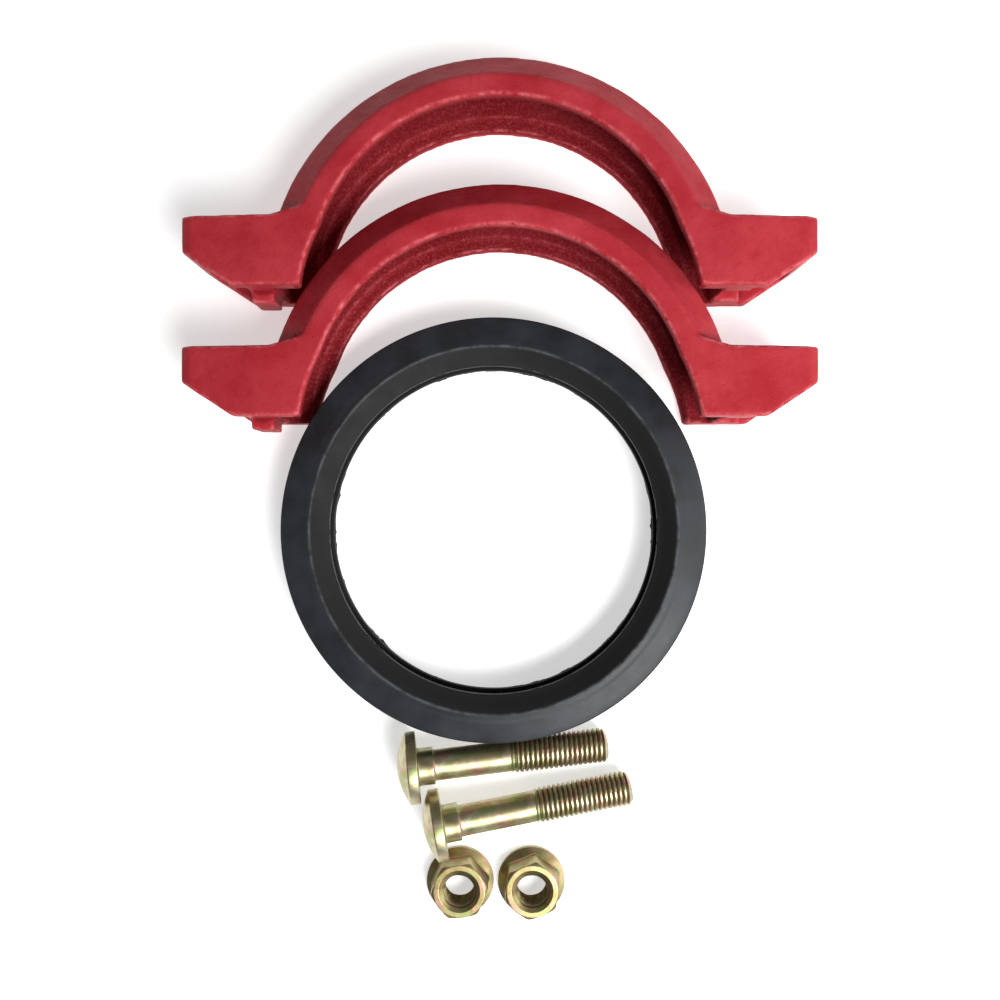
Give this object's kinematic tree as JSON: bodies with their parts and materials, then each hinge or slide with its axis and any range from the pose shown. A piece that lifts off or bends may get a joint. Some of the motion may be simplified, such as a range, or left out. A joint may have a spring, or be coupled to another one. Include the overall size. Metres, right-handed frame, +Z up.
{
  "type": "pipe coupling",
  "caption": "Grooved-pipe coupling laid out as a kit: ribless half housings with bolt lugs, a C-section rubber gasket, oval-neck track bolts and flanged nuts.",
  "frame": {"origin": "middle of the laid-out kit's footprint, on the bench that the pieces lie on", "axes": "+X to the right along the lugs, +Y away from the front along the draw of the housings' bolts, +Z up along the pipe"},
  "size_m": [0.28, 0.3961, 0.048],
  "materials": {
    "housing_paint": "semi-gloss red dipped paint over cast iron",
    "gasket_rubber": "moulded black EPDM rubber, satin",
    "bolt_zinc": "yellow-passivated zinc plate on forged steel",
    "nut_zinc": "yellow-passivated zinc plate on forged steel"
  },
  "bodies": {
    "front_housing": {"front_housing": "housing_paint"},
    "rear_housing": {"rear_housing": "housing_paint"},
    "gasket": {"gasket": "gasket_rubber"},
    "rear_bolt": {"rear_bolt": "bolt_zinc"},
    "front_bolt": {"front_bolt": "bolt_zinc"},
    "left_nut": {"left_nut": "nut_zinc"},
    "right_nut": {"right_nut": "nut_zinc"}
  },
  "joints": [
    {"name": "rear_housing_draw", "type": "slide", "parent": "front_housing", "child": "rear_housing", "axis": [0, 1, 0], "range_m": [0, 0.06]},
    {"name": "gasket_slip_on", "type": "slide", "parent": "front_housing", "child": "gasket", "axis": [0, 0, 1], "range_m": [0, 0.06]},
    {"name": "rear_bolt_slide", "type": "slide", "parent": "front_housing", "child": "rear_bolt", "axis": [-0.9954, -0.0958, 0], "range_m": [0, 0.04]},
    {"name": "front_bolt_slide", "type": "slide", "parent": "front_housing", "child": "front_bolt", "axis": [0.9863, 0.165, 0], "range_m": [0, 0.04]},
    {"name": "left_nut_turn", "type": "hinge", "parent": "front_housing", "child": "left_nut", "pos_m": [-0.019, -0.18206, 0], "axis": [0, 0, 1], "continuous": true},
    {"name": "right_nut_turn", "type": "hinge", "parent": "front_housing", "child": "right_nut", "pos_m": [0.015, -0.18206, 0], "axis": [0, 0, 1], "continuous": true}
  ]
}
